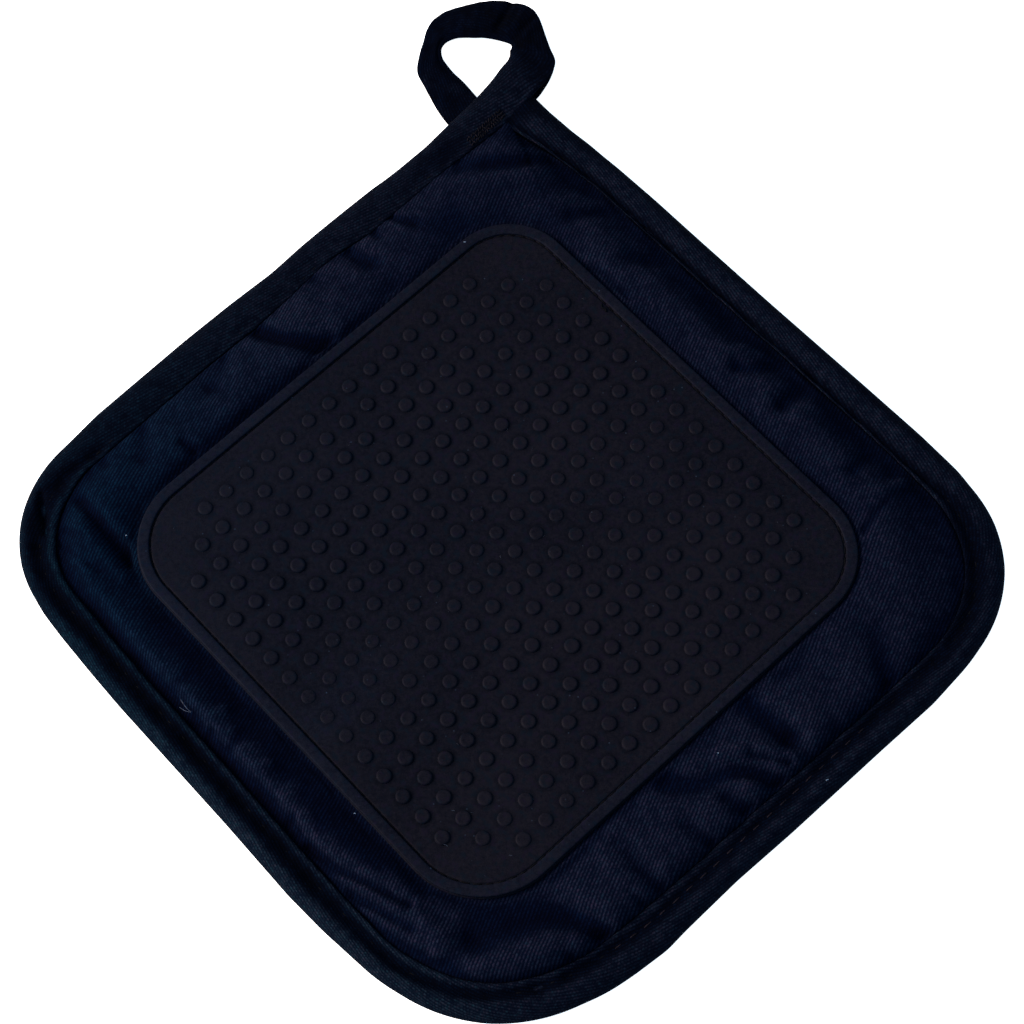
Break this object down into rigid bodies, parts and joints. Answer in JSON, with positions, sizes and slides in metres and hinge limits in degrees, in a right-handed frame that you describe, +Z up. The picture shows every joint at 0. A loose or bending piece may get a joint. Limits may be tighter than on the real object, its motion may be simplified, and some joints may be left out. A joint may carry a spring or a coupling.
{
  "type": "pot holder",
  "caption": "Square quilted twill pot holder lying flat, with a bound edge, a hanging loop at a corner and a silicone grip patch with raised nubs.",
  "frame": {"origin": "on the underside of the pad, below the middle of the silicone patch, where it rests on a surface", "axes": "+Z up out of the front, +Y towards the corner with the hanging loop, +X to the right seen from the front"},
  "size_m": [0.251, 0.2809, 0.01],
  "materials": {
    "cloth": "matt navy-black cotton twill",
    "tape": "matt navy-black folded twill tape",
    "silicone": "matt black silicone with a faint dusty bloom"
  },
  "bodies": {
    "root": {"pad": "cloth", "binding": "tape", "hanging_loop": "tape", "silicone_patch": "silicone"}
  },
  "joints": []
}
